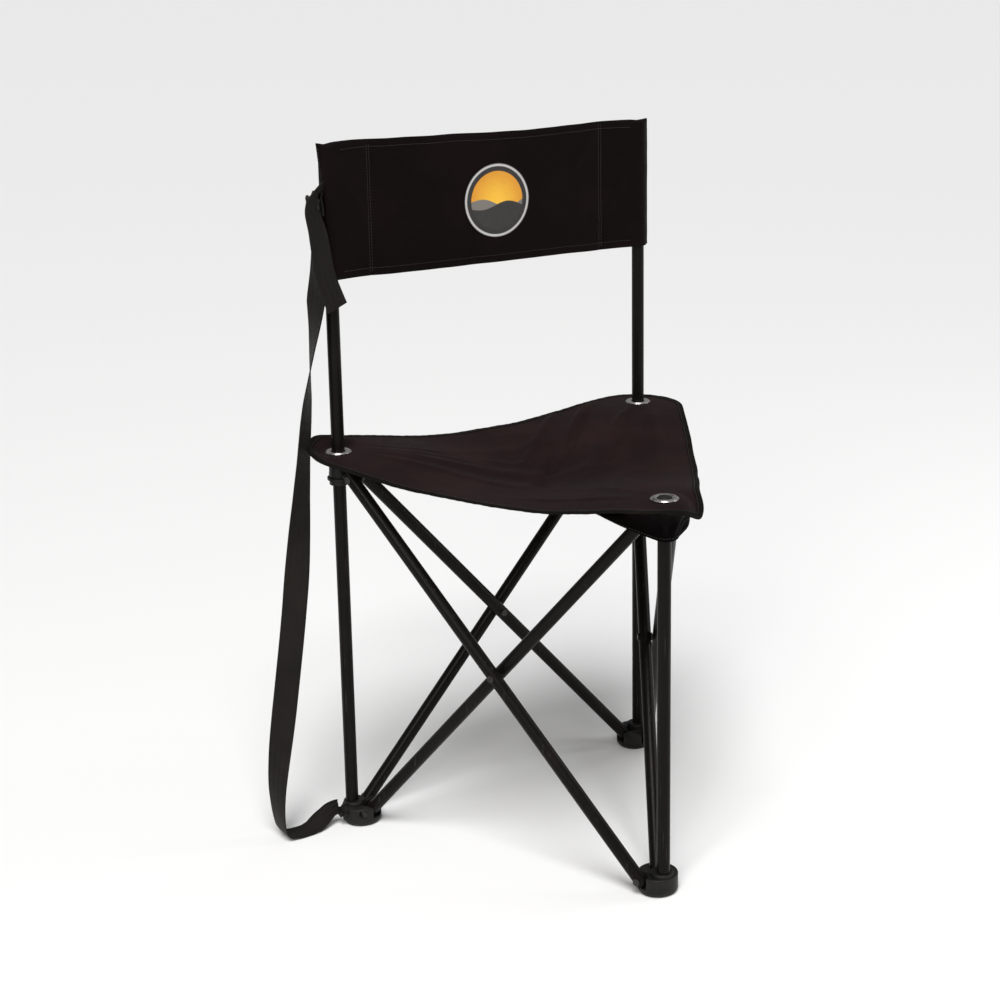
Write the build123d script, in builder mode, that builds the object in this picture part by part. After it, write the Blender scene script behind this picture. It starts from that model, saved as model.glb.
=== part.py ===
from build123d import *
import math
import os

os.makedirs("parts", exist_ok=True)

# Folding three leg stool, mm. +Z is up, -Y points to the front leg.
# The origin is on the floor under the middle of the seat.

# legs and braces
leg_gap = 442.0           # between any two leg centres
tube_r = 8.0
tube_wall = 1.2
brace_end_r = 8.6         # rounding of the brace ends about their pivots
leg_foot_z = 5.1
rear_top_z = 862.0
front_top_z = 444.0
low_pin_z = 17.5          # braces pivot here in the feet
high_pin_z = 463.3        # and here in the hubs under the seat
pin_in = 26.0             # pivot from the leg centre, along the side
outer_off = 11.2          # outer brace centre line, out from the side line
inner_off = 6.2           # inner brace centre line, in from the side line

# rivets
pin_r = 2.5
pin_hole_r = 2.55
head_r = 4.4
head_high = 1.5
head_gap = 0.1
washer_r = 5.0
washer_thick = 1.2
foot_pin_long = 30.0

# feet
pad_r = 21.5
pad_thick = 2.6
foot_shift = 12.0         # foot centre from the leg, towards the middle
foot_r = 24.5
foot_top_z = 23.6
neck_shift = 3.0          # low neck around the leg socket
neck_r = 14.0
neck_top_z = 28.0
slot_start = 14.0         # where the brace slots begin, from the leg centre
slot_below = 9.0          # slot floor below the pivot
slot_play = 0.25
socket_play = 0.03

# hubs under the seat
collar_r = 12.0
collar_low_z = 451.0
flange_r = 14.5
flange_z = 457.0
flange_thick = 3.0
ear_thick = 6.0
ear_r = 10.0
ear_play = 0.25
slide_play = 0.08

# front slide tube
slide_r = 6.74
slide_bore_r = 5.6
slide_low_z = 240.0
slide_top_z = 488.0
front_bore_r = 6.78
plug_head_r = 8.2

# seat
seat_z = 490.5            # underside of the flat corners
cloth = 2.0
seat_edge = 50.0          # seat edge, out from the side line
seat_round = 62.0
edge_sag = 24.0
middle_sag = 42.0
disc_r = 26.0
disc_hole_r = 10.2
eyelet_r = 16.5
eyelet_hole_r = 9.0
eyelet_thick = 1.3
cloth_gap = 0.2

# pocket under the front corner
pocket_low_z = 446.0
pocket_low_r = 18.0
pocket_high_r = 36.0
pocket_wall = 1.6
pocket_back = 6.0

# back
back_low_z = 704.0
back_high_z = 868.0
sleeve_r = 12.0
sleeve_bore_r = 10.4
seam_x = 165.0
back_half_thick = 1.4
badge_x = 8.0
badge_z = 782.0
badge_r = 46.0
badge_thick = 1.2

# strap
web_wide = 30.0
web_thick = 1.6

leg_reach = leg_gap / math.sqrt(3)
seat_tip = 2 * seat_edge - seat_round
middle_y = (leg_reach / 2 + seat_tip - seat_edge) / 2
up = Vector(0, 0, 1)
middle = Vector(0, middle_y, 0)
legs = {
    "left": Vector(-leg_gap / 2, middle_y + leg_reach / 2, 0),
    "front": Vector(0, middle_y - leg_reach, 0),
    "right": Vector(leg_gap / 2, middle_y + leg_reach / 2, 0),
}
round_order = ["left", "front", "right"]
rear_y = legs["left"].Y


def save(built, name):
    built.part.label = name
    export_step(built.part, "parts/" + name + ".step")


def flat(spot):
    return (spot.X, spot.Y)


def after(name):
    return round_order[(round_order.index(name) + 1) % 3]


def before(name):
    return round_order[(round_order.index(name) - 1) % 3]


def along(a, b):
    """Unit vector from leg a to leg b."""
    return (legs[b] - legs[a]).normalized()


def outward(a, b):
    """Unit vector out of the side from leg a to the next leg, b."""
    return along(a, b).cross(up)


def inward(name):
    return (middle - legs[name]).normalized()


def level(name, z, shift=0.0):
    """Horizontal plane at height z, centred on a leg or shifted towards the middle."""
    return Plane(origin=legs[name] + inward(name) * shift + up * z)


def side_plane(a, b, spot, off):
    """Plane along a side through spot, moved out by off: x runs from a to b, y is up."""
    return Plane(origin=spot + outward(a, b) * off, x_dir=along(a, b), z_dir=outward(a, b))


def brace_ends(a, b):
    """Pivots of the outer brace, top of a to foot of b, and of the inner one."""
    run, out = along(a, b), outward(a, b)
    near = legs[a] + run * pin_in
    far = legs[b] - run * pin_in
    outer = (near + out * outer_off + up * high_pin_z, far + out * outer_off + up * low_pin_z)
    inner = (far - out * inner_off + up * high_pin_z, near - out * inner_off + up * low_pin_z)
    return {"outer": outer, "inner": inner}


def make_brace(a, b, kind):
    top, foot = brace_ends(a, b)[kind]
    axis = (top - foot).normalized()
    long = (top - foot).length
    half = (top + foot) * 0.5
    cut = Plane(origin=half, x_dir=axis, z_dir=outward(a, b))
    with BuildPart() as brace:
        with BuildSketch(Plane(origin=half, x_dir=outward(a, b), z_dir=axis)):
            Circle(tube_r)
            Circle(tube_r - tube_wall, mode=Mode.SUBTRACT)
        extrude(amount=long / 2 + tube_r, both=True)
        with BuildSketch(cut):
            SlotCenterToCenter(long, 2 * brace_end_r)
        extrude(amount=tube_r + 1, both=True, mode=Mode.INTERSECT)
        with BuildSketch(cut):
            with Locations((-long / 2, 0), (0, 0), (long / 2, 0)):
                Circle(pin_hole_r)
        extrude(amount=2 * tube_r, both=True, mode=Mode.SUBTRACT)
    save(brace, "brace_" + a + "_" + b + "_" + kind)


def make_mid_rivet(a, b):
    spot = (legs[a] + legs[b]) * 0.5 + up * ((high_pin_z + low_pin_z) / 2)
    low = -inner_off - tube_r - head_gap
    high = outer_off + tube_r + head_gap
    with BuildPart() as rivet:
        with BuildSketch(side_plane(a, b, spot, low)):
            Circle(pin_r)
        extrude(amount=high - low)
        with BuildSketch(side_plane(a, b, spot, low - head_high)):
            Circle(head_r)
        extrude(amount=head_high)
        with BuildSketch(side_plane(a, b, spot, high)):
            Circle(head_r)
        extrude(amount=head_high)
        with BuildSketch(side_plane(a, b, spot, (outer_off - inner_off - washer_thick) / 2)):
            Circle(washer_r)
        extrude(amount=washer_thick)
    save(rivet, "mid_rivet_" + a + "_" + b)


def foot_pins(name):
    """Side, pivot and rivet head offset for the outer and inner braces that end in a foot."""
    last, following = before(name), after(name)
    outer = legs[name] - along(last, name) * pin_in + up * low_pin_z
    inner = legs[name] + along(name, following) * pin_in + up * low_pin_z
    outer_head = outer_off + tube_r + head_gap
    inner_head = inner_off + washer_r
    return (last, name, outer, outer_head), (name, following, inner, inner_head)


def make_foot(name):
    (oa, ob, outer_pin, _), (ia, ib, inner_pin, inner_head) = foot_pins(name)
    with BuildPart() as foot:
        with BuildSketch(level(name, pad_thick, foot_shift)):
            Circle(foot_r)
        extrude(amount=foot_top_z - pad_thick)
        fillet(foot.edges().group_by(Axis.Z)[0], 2.5)
        fillet(foot.edges().group_by(Axis.Z)[-1], 1.2)
        with BuildSketch(level(name, pad_thick, neck_shift)):
            Circle(neck_r)
        extrude(amount=neck_top_z - pad_thick)
        fillet(foot.edges().group_by(Axis.Z)[-1], 1.5)
        # open slot for the outer brace, walled slot for the inner one
        corner = slot_start - pin_in
        reach = 2 * foot_r
        with BuildSketch(side_plane(oa, ob, outer_pin, outer_off - tube_r - slot_play)):
            with Locations((-corner, -slot_below)):
                Rectangle(reach, reach, align=(Align.MAX, Align.MIN))
        extrude(amount=reach, mode=Mode.SUBTRACT)
        with BuildSketch(side_plane(ia, ib, inner_pin, -inner_off - tube_r - slot_play)):
            with Locations((corner, -slot_below)):
                Rectangle(reach, reach, align=(Align.MIN, Align.MIN))
        extrude(amount=2 * (tube_r + slot_play), mode=Mode.SUBTRACT)
        # socket for the leg and holes for the rivets
        with BuildSketch(level(name, leg_foot_z - 0.1)):
            Circle(tube_r + socket_play)
        extrude(amount=neck_top_z, mode=Mode.SUBTRACT)
        for a, b, pin, head in foot_pins(name):
            with BuildSketch(side_plane(a, b, pin, head - foot_pin_long - 2 * head_gap)):
                Circle(pin_hole_r)
            extrude(amount=2 * foot_r, mode=Mode.SUBTRACT)
        with BuildSketch(side_plane(ia, ib, inner_pin, inner_head - head_gap)):
            Circle(washer_r)
        extrude(amount=foot_r, mode=Mode.SUBTRACT)
    save(foot, "foot_hub_" + name)

    with BuildPart() as pad:
        with BuildSketch(level(name, 0, foot_shift)):
            Circle(pad_r)
        extrude(amount=pad_thick)
        fillet(pad.edges().group_by(Axis.Z)[0], 0.8)
    save(pad, "foot_pad_" + name)

    with BuildPart() as rivets:
        for a, b, pin, head in foot_pins(name):
            with BuildSketch(side_plane(a, b, pin, head - foot_pin_long)):
                Circle(pin_r)
            extrude(amount=foot_pin_long)
            with BuildSketch(side_plane(a, b, pin, head)):
                Circle(head_r)
            extrude(amount=head_high)
    save(rivets, "foot_rivets_" + name)


def make_leg(name, label, top_z):
    with BuildPart() as leg:
        with BuildSketch(level(name, leg_foot_z)):
            Circle(tube_r)
            Circle(tube_r - tube_wall, mode=Mode.SUBTRACT)
        extrude(amount=top_z - leg_foot_z)
    save(leg, label)


def make_top_hub(name, bore_r):
    """Collar on the leg, with one ear for each of the two braces that end here."""
    following, last = after(name), before(name)
    outer_pin = legs[name] + along(name, following) * pin_in + up * high_pin_z
    inner_pin = legs[name] - along(last, name) * pin_in + up * high_pin_z
    outer_ear = outer_off - tube_r - ear_play - ear_thick
    inner_ear = -inner_off + tube_r + ear_play
    with BuildPart() as hub:
        with BuildSketch(level(name, collar_low_z)):
            Circle(collar_r)
        extrude(amount=seat_z - cloth_gap - collar_low_z)
        with BuildSketch(level(name, flange_z)):
            Circle(flange_r)
        extrude(amount=flange_thick)
        for a, b, pin, off, hand in ((name, following, outer_pin, outer_ear, -1),
                                     (last, name, inner_pin, inner_ear, 1)):
            with BuildSketch(side_plane(a, b, pin, off)):
                with Locations((hand * pin_in / 2, 0)):
                    SlotCenterToCenter(pin_in, 2 * ear_r)
            extrude(amount=ear_thick)
        with BuildSketch(level(name, collar_low_z - ear_r)):
            Circle(bore_r)
        extrude(amount=seat_z, mode=Mode.SUBTRACT)
        for a, b, pin, off in ((name, following, outer_pin, outer_ear),
                               (last, name, inner_pin, inner_ear)):
            with BuildSketch(side_plane(a, b, pin, off)):
                Circle(pin_hole_r)
            extrude(amount=ear_thick, mode=Mode.SUBTRACT)
    save(hub, "top_hub_" + name)

    shank = ear_thick + ear_play + 2 * tube_r + 2 * head_gap
    with BuildPart() as rivets:
        for a, b, pin, low in ((name, following, outer_pin, outer_ear - head_gap),
                               (last, name, inner_pin, -inner_off - tube_r - head_gap)):
            with BuildSketch(side_plane(a, b, pin, low)):
                Circle(pin_r)
            extrude(amount=shank)
            with BuildSketch(side_plane(a, b, pin, low - head_high)):
                Circle(head_r)
            extrude(amount=head_high)
            with BuildSketch(side_plane(a, b, pin, low + shank)):
                Circle(head_r)
            extrude(amount=head_high)
    save(rivets, "top_rivets_" + name)


def make_seat_corner(name):
    with BuildPart() as disc:
        with BuildSketch(level(name, seat_z)):
            Circle(disc_r)
            Circle(disc_hole_r, mode=Mode.SUBTRACT)
        extrude(amount=cloth)
    save(disc, "seat_corner_" + name)

    with BuildPart() as eyelet:
        with BuildSketch(level(name, seat_z + cloth)):
            Circle(eyelet_r)
            Circle(eyelet_hole_r, mode=Mode.SUBTRACT)
        extrude(amount=eyelet_thick)
        fillet(eyelet.edges().group_by(Axis.Z)[-1], 0.6)
        with BuildSketch(level(name, seat_z)):
            Circle(disc_hole_r - head_gap)
            Circle(eyelet_hole_r, mode=Mode.SUBTRACT)
        extrude(amount=cloth)
    save(eyelet, "eyelet_" + name)


def make_seat_side(a, b):
    """A third of the seat: two slopes that meet on a fold from its middle to its edge."""
    out = outward(a, b)
    low_middle = middle + up * (seat_z - middle_sag)
    low_edge = (legs[a] + legs[b]) * 0.5 + out * seat_edge + up * (seat_z - edge_sag)
    stretch = 1.5
    with BuildPart() as cloth_side:
        for name in (a, b):
            far_corner = low_middle + (legs[name] + up * seat_z - low_middle) * stretch
            far_edge = low_middle + (low_edge - low_middle) * stretch
            normal = (far_corner - low_middle).cross(far_edge - low_middle)
            if normal.Z < 0:
                normal = normal * -1
            slope = Plane(origin=low_middle, x_dir=far_corner - low_middle, z_dir=normal)
            corners = [slope.to_local_coords(p) for p in (low_middle, far_corner, far_edge)]
            with BuildSketch(slope):
                Polygon(*[flat(p) for p in corners], align=None)
            extrude(amount=cloth, dir=(0, 0, 1))
        wedge = middle + out * cloth_gap
        with BuildSketch(Plane.XY) as outline:
            tips = [legs[n] - inward(n) * 2 * seat_edge for n in round_order]
            Polygon(*[flat(p) for p in tips], align=None)
            fillet(outline.vertices(), seat_round)
            Polygon(flat(wedge), flat(wedge + (legs[a] - middle) * 2),
                    flat(wedge + (legs[b] - middle) * 2), align=None, mode=Mode.INTERSECT)
            with Locations(flat(legs[a]), flat(legs[b])):
                Circle(disc_r + 2 * cloth_gap, mode=Mode.SUBTRACT)
        extrude(amount=2 * seat_z, mode=Mode.INTERSECT)
    save(cloth_side, "seat_side_" + a + "_" + b)


def make_front_slide():
    with BuildPart() as slide:
        with BuildSketch(level("front", slide_low_z)):
            Circle(slide_r)
            Circle(slide_bore_r, mode=Mode.SUBTRACT)
        extrude(amount=slide_top_z - slide_low_z)
    save(slide, "front_slide_tube")

    with BuildPart() as plug:
        with BuildSketch(level("front", slide_top_z - 18)):
            Circle(slide_bore_r - 0.05)
        extrude(amount=seat_z - slide_top_z + 18)
        with BuildSketch(level("front", seat_z - head_gap)):
            Circle(plug_head_r)
        extrude(amount=4.0)
        fillet(plug.edges().group_by(Axis.Z)[-1], 1.5)
    save(plug, "front_plug")


def make_leg_plug(name):
    with BuildPart() as plug:
        with BuildSketch(level(name, rear_top_z - 14)):
            Circle(tube_r - tube_wall - 0.05)
        extrude(amount=14.05)
        with BuildSketch(level(name, rear_top_z + 0.05)):
            Circle(tube_r)
        extrude(amount=3.4)
        fillet(plug.edges().group_by(Axis.Z)[-1], 2.0)
    save(plug, "leg_plug_" + name)


def make_pocket():
    with BuildPart() as pocket:
        with BuildSketch(level("front", pocket_low_z)):
            Circle(pocket_low_r)
        with BuildSketch(level("front", seat_z - 2 * cloth_gap)):
            Circle(pocket_high_r)
        loft()
        with BuildSketch(level("front", pocket_low_z)):
            Circle(pocket_low_r - pocket_wall)
        with BuildSketch(level("front", seat_z - 2 * cloth_gap)):
            Circle(pocket_high_r - pocket_wall)
        loft(mode=Mode.SUBTRACT)
        with BuildSketch(level("front", pocket_low_z)):
            with Locations((0, pocket_back)):
                Rectangle(4 * pocket_high_r, 4 * pocket_high_r, align=(Align.CENTER, Align.MIN))
        extrude(amount=seat_z, mode=Mode.SUBTRACT)
    save(pocket, "front_pocket")


def make_back(name, hand):
    """Half of the cloth back: a sleeve on the leg, then two layers sewn flat."""
    leg_x = hand * leg_gap / 2
    seam = hand * seam_x
    end = hand * cloth_gap
    with BuildPart() as half:
        with BuildSketch(Plane(origin=(0, rear_y, back_low_z))):
            with Locations((leg_x, 0)):
                Circle(sleeve_r)
            Polygon((leg_x, sleeve_r), (seam, back_half_thick), (end, back_half_thick),
                    (end, -back_half_thick), (seam, -back_half_thick), (leg_x, -sleeve_r),
                    align=None)
            with Locations((leg_x, 0)):
                Circle(sleeve_bore_r, mode=Mode.SUBTRACT)
            Polygon((leg_x, sleeve_bore_r), (seam + hand * 4, 0.4), (seam + hand * 4, -0.4),
                    (leg_x, -sleeve_bore_r), align=None, mode=Mode.SUBTRACT)
        extrude(amount=back_high_z - back_low_z)
        with BuildSketch(Plane(origin=(0, rear_y, back_high_z - cloth))):
            with Locations((leg_x, 0)):
                Circle(sleeve_r)
            Polygon((leg_x, sleeve_r), (seam, back_half_thick), (seam, -back_half_thick),
                    (leg_x, -sleeve_r), align=None)
        extrude(amount=cloth)
    save(half, "back_" + name)


def make_badge():
    front_face = Plane(origin=(badge_x, rear_y - back_half_thick, badge_z),
                       x_dir=(1, 0, 0), z_dir=(0, -1, 0))
    with BuildPart() as badge:
        with BuildSketch(front_face):
            Circle(badge_r)
        extrude(amount=badge_thick)
    save(badge, "badge")


# the strap's route from the slider down to the floor and back up to the left foot
strap_route = [
    (-240.0, rear_y, 796.0),
    (-247.0, rear_y, 695.0),
    (-257.0, rear_y, 580.0),
    (-272.0, rear_y, 445.0),
    (-286.0, rear_y, 312.0),
    (-306.0, rear_y, 182.0),
    (-323.0, rear_y, 88.0),
    (-325.5, rear_y, 42.0),
    (-316.0, rear_y, 9.0),
    (-297.0, rear_y, 2.5),
    (-277.0, rear_y, 8.0),
    (-259.0, rear_y, 18.5),
    (-240.5, rear_y, 22.0),
]


def strap_radii():
    """For each corner, the largest arc that its two runs allow."""
    spots = [Vector(*p) for p in strap_route]
    radii = []
    for k in range(1, len(spots) - 1):
        one = spots[k] - spots[k - 1]
        two = spots[k + 1] - spots[k]
        half_turn = math.radians(one.get_angle(two)) / 2
        radii.append(0.45 * min(one.length, two.length) / math.tan(half_turn))
    return radii


def make_strap():
    radii = strap_radii()
    print("strap arcs", [round(r) for r in radii])
    with BuildPart() as strap:
        with BuildLine():
            FilletPolyline(*strap_route, radius=radii)
        first = Vector(*strap_route[1]) - Vector(*strap_route[0])
        with BuildSketch(Plane(origin=strap_route[0], x_dir=(0, 1, 0), z_dir=first)) as section:
            Rectangle(web_wide, web_thick)
        sweep()
    print("strap volume over section", round(strap.part.volume / section.sketch.area))
    save(strap, "strap")


def make_strap_fittings():
    tail_y = rear_y - 21.0
    with BuildPart() as tail:
        with BuildSketch(Plane(origin=(0, tail_y, 0), x_dir=(1, 0, 0), z_dir=(0, -1, 0))):
            with BuildLine():
                Polyline((-243, 812), (-261, 792), (-261, 762), (-247, 730), (-222, 692))
            trace(line_width=26.0)
        extrude(amount=web_thick)
    save(tail, "strap_tail")

    with BuildPart() as slider:
        with BuildSketch(Plane(origin=(-238.6, rear_y, 808), x_dir=(0, 1, 0), z_dir=(-1, 0, 0))):
            Rectangle(40, 22)
            with Locations((0, 5.2), (0, -5.2)):
                Rectangle(32, 5.2, mode=Mode.SUBTRACT)
        extrude(amount=2.6)
    save(slider, "strap_slider")

    with BuildPart() as tab:
        with BuildSketch(Plane(origin=(-leg_gap / 2 - sleeve_r - 0.3, rear_y, 812),
                               x_dir=(0, 1, 0), z_dir=(-1, 0, 0))):
            Rectangle(28, 26)
        extrude(amount=2.0)
    save(tab, "strap_tab")

    with BuildPart() as clip:
        with BuildSketch(Plane(origin=level("left", 15, foot_shift).origin
                               + Vector(-foot_r - 0.1, 0, 0),
                               x_dir=(0, 1, 0), z_dir=(-1, 0, 0))):
            Rectangle(30, 14)
        extrude(amount=3.0)
    save(clip, "strap_clip")


for name in round_order:
    for kind in ("outer", "inner"):
        make_brace(name, after(name), kind)
    make_mid_rivet(name, after(name))
    make_foot(name)
    make_top_hub(name, front_bore_r if name == "front" else tube_r + slide_play)
    make_seat_corner(name)
    make_seat_side(name, after(name))

make_leg("front", "front_leg", front_top_z)
make_leg("left", "rear_leg_left", rear_top_z)
make_leg("right", "rear_leg_right", rear_top_z)
make_leg_plug("left")
make_leg_plug("right")
make_front_slide()
make_pocket()
make_back("left", -1)
make_back("right", 1)
make_badge()
make_strap()
make_strap_fittings()
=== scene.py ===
import math

import bpy
import numpy as np
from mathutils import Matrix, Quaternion, Vector, geometry, noise


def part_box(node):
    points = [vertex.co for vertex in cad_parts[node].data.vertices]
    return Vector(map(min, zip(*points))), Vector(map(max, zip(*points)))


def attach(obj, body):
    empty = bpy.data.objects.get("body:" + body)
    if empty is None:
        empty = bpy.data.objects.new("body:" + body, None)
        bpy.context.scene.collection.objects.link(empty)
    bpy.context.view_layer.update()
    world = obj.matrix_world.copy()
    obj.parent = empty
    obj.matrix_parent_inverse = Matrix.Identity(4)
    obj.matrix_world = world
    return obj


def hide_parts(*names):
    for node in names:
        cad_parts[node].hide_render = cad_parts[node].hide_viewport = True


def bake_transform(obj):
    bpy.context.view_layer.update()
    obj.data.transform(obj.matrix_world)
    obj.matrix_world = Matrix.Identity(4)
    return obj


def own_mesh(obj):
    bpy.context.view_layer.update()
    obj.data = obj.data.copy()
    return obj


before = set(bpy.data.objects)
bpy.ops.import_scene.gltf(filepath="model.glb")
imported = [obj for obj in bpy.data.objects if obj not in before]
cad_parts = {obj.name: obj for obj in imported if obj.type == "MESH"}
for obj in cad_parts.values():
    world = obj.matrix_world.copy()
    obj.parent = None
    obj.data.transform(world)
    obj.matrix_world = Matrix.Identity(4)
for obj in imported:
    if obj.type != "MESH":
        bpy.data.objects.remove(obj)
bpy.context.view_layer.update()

# A folding three leg stool with a sling seat, a cloth back and a carrying strap.
# Metres, +Z up, -Y towards the front leg, as in the frame.

MM = 0.001
UP = Vector((0, 0, 1))
TURN = ["left", "front", "right"]
LEG_NODES = {"left": "rear_leg_left", "front": "front_leg", "right": "rear_leg_right"}
SIDES = {
    "left": ("left", "front", "seat_side_left_front"),
    "right": ("front", "right", "seat_side_front_right"),
    "rear": ("right", "left", "seat_side_right_left"),
}


def leg_spot(name):
    low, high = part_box(LEG_NODES[name])
    return Vector(((low.x + high.x) / 2, (low.y + high.y) / 2, 0))


LEGS = {name: leg_spot(name) for name in TURN}
MIDDLE = sum(LEGS.values(), Vector()) / 3
GAP = (LEGS["right"] - LEGS["left"]).length
REAR_Y = LEGS["left"].y


# ---------------------------------------------------------------- materials


class Paint:
    """A procedural material, with short calls for its nodes."""

    def __init__(self, name):
        self.material = bpy.data.materials.new(name)
        self.material.use_nodes = True
        self.tree = self.material.node_tree
        self.shader = self.tree.nodes["Principled BSDF"]
        self.place = self.node("ShaderNodeTexCoord").outputs["Object"]

    def node(self, kind, inputs=None, **settings):
        made = self.tree.nodes.new(kind)
        for key, value in settings.items():
            setattr(made, key, value)
        for key, value in (inputs or {}).items():
            self.put(made.inputs[key], value)
        return made

    def put(self, socket, value):
        if isinstance(value, bpy.types.NodeSocket):
            self.tree.links.new(value, socket)
        else:
            socket.default_value = value

    def set(self, **values):
        for key, value in values.items():
            title = key.replace("_", " ").title().replace("Ior", "IOR")
            self.put(self.shader.inputs[title], value)

    def math(self, operation, a, b=0.5, c=0.5):
        return self.node("ShaderNodeMath", {0: a, 1: b, 2: c}, operation=operation).outputs[0]

    def times(self, a, b):
        return self.math("MULTIPLY", a, b)

    def plus(self, a, b):
        return self.math("ADD", a, b)

    def sine(self, value, rate=1.0):
        return self.math("SINE", self.times(value, rate))

    def noise(self, scale, detail=3.0, place=None, distortion=0.0):
        inputs = {"Vector": place or self.place, "Scale": scale, "Detail": detail}
        inputs["Distortion"] = distortion
        return self.node("ShaderNodeTexNoise", inputs).outputs["Fac"]

    def stretched(self, factors, place=None):
        inputs = {"Vector": place or self.place, "Scale": factors}
        return self.node("ShaderNodeMapping", inputs).outputs["Vector"]

    def ramp(self, value, low, high, out_low=0.0, out_high=1.0):
        inputs = {"Value": value, "From Min": low, "From Max": high}
        inputs.update({"To Min": out_low, "To Max": out_high})
        return self.node("ShaderNodeMapRange", inputs).outputs["Result"]

    def mix(self, share, one, two):
        made = self.node("ShaderNodeMix", data_type="RGBA")
        self.put(made.inputs["Factor"], share)
        self.put(made.inputs[6], one)
        self.put(made.inputs[7], two)
        return made.outputs[2]

    def bump(self, height, depth, strength=1.0, under=None):
        inputs = {"Height": height, "Distance": depth, "Strength": strength}
        if under is not None:
            inputs["Normal"] = under
        return self.node("ShaderNodeBump", inputs).outputs["Normal"]


def grey(value, warm=1.0):
    """A near-black or grey, slightly warm, as a colour."""
    return (value * warm, value, value / warm, 1.0)


def shaded(colour, share):
    return [share * v for v in colour[:3]] + [1.0]


def threads(paint, axis_pair, pitch):
    """Height of a plain weave: two sets of threads that pass over and under each other."""
    split = paint.node("ShaderNodeSeparateXYZ", {0: paint.place})
    turn = 2 * math.pi / pitch
    one, two = (paint.times(split.outputs[a], turn) for a in axis_pair)
    wave_one, wave_two = paint.sine(one, 0.5), paint.sine(two, 0.5)
    share = paint.ramp(paint.times(wave_one, wave_two), -0.25, 0.25)
    first = paint.times(paint.math("ABSOLUTE", wave_one), share)
    second = paint.times(paint.math("ABSOLUTE", wave_two), paint.math("SUBTRACT", 1.0, share))
    return paint.plus(first, second)


def cloth_material(name, dark, light, axis_pair, pitch=0.9 * MM, gloss=0.07):
    """Coated polyester: a close plain weave, slubs, faint creases and dust."""
    paint = Paint(name)
    weave = threads(paint, axis_pair, pitch)
    slub = paint.noise(900, 2)
    fade = paint.noise(14, 4)
    share = paint.times(weave, paint.ramp(slub, 0.3, 0.7, 0.45, 1.0))
    cloth = paint.mix(share, dark, light)
    worn = paint.mix(paint.ramp(fade, 0.45, 0.75, 0.0, 0.35), cloth, shaded(light, 2.0))
    crease = paint.noise(55, 5, distortion=0.6)
    under = paint.bump(crease, 1.2 * MM, 0.35)
    paint.set(base_color=worn, roughness=paint.ramp(fade, 0.3, 0.7, 0.52, 0.68),
              normal=paint.bump(weave, 0.12 * MM, 0.8, under))
    paint.set(sheen_weight=0.18 * gloss, sheen_roughness=0.5, specular_ior_level=gloss)
    paint.shader.inputs["Sheen Tint"].default_value = (0.85, 0.72, 0.68, 1.0)
    return paint.material


def tube_material():
    """Satin black paint on steel tube, with orange peel, fine rubs and dust."""
    paint = Paint("tube_paint")
    peel = paint.noise(650, 2)
    rubs = paint.noise(60, 6, paint.stretched((6.0, 6.0, 0.25)))
    dust = paint.noise(22, 5)
    colour = paint.mix(paint.ramp(dust, 0.5, 0.8, 0.0, 0.5), grey(0.004, 1.2), grey(0.010, 1.25))
    scuffed = paint.mix(paint.ramp(rubs, 0.66, 0.72, 0.0, 0.6), colour, grey(0.045, 1.1))
    paint.set(base_color=scuffed, roughness=paint.ramp(rubs, 0.3, 0.7, 0.25, 0.4),
              normal=paint.bump(peel, 0.06 * MM, 0.6))
    paint.set(specular_ior_level=0.09)
    return paint.material


def plastic_material():
    """Black moulded nylon with a fine spark-eroded grain."""
    paint = Paint("moulded_nylon")
    grain = paint.noise(1400, 3)
    flow = paint.noise(45, 4, distortion=0.8)
    colour = paint.mix(paint.ramp(flow, 0.4, 0.7), grey(0.006, 1.05), grey(0.014, 1.1))
    paint.set(base_color=colour, roughness=paint.ramp(flow, 0.3, 0.7, 0.42, 0.58),
              normal=paint.bump(grain, 0.08 * MM, 0.7))
    paint.set(specular_ior_level=0.2)
    return paint.material


def rubber_material():
    """Matt black rubber, scuffed and dusty where it meets the ground."""
    paint = Paint("sole_rubber")
    grain = paint.noise(700, 4)
    height = paint.node("ShaderNodeSeparateXYZ", {0: paint.place}).outputs[2]
    grime = paint.times(paint.ramp(height, 3 * MM, 0.0), paint.ramp(grain, 0.35, 0.65))
    paint.set(base_color=paint.mix(grime, grey(0.012), grey(0.05, 1.1)), roughness=0.85,
              normal=paint.bump(grain, 0.2 * MM, 0.8))
    return paint.material


def metal_material(name, bright, dull, smooth, rough):
    """Plated metal with fine turning marks and a little tarnish."""
    paint = Paint(name)
    marks = paint.noise(90, 5, paint.stretched((1.0, 1.0, 14.0)))
    tarnish = paint.noise(210, 4, distortion=1.0)
    paint.set(base_color=paint.mix(paint.ramp(tarnish, 0.5, 0.75), bright, dull), metallic=1.0,
              roughness=paint.ramp(tarnish, 0.3, 0.7, smooth, rough),
              normal=paint.bump(marks, 0.03 * MM, 0.5))
    return paint.material


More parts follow.
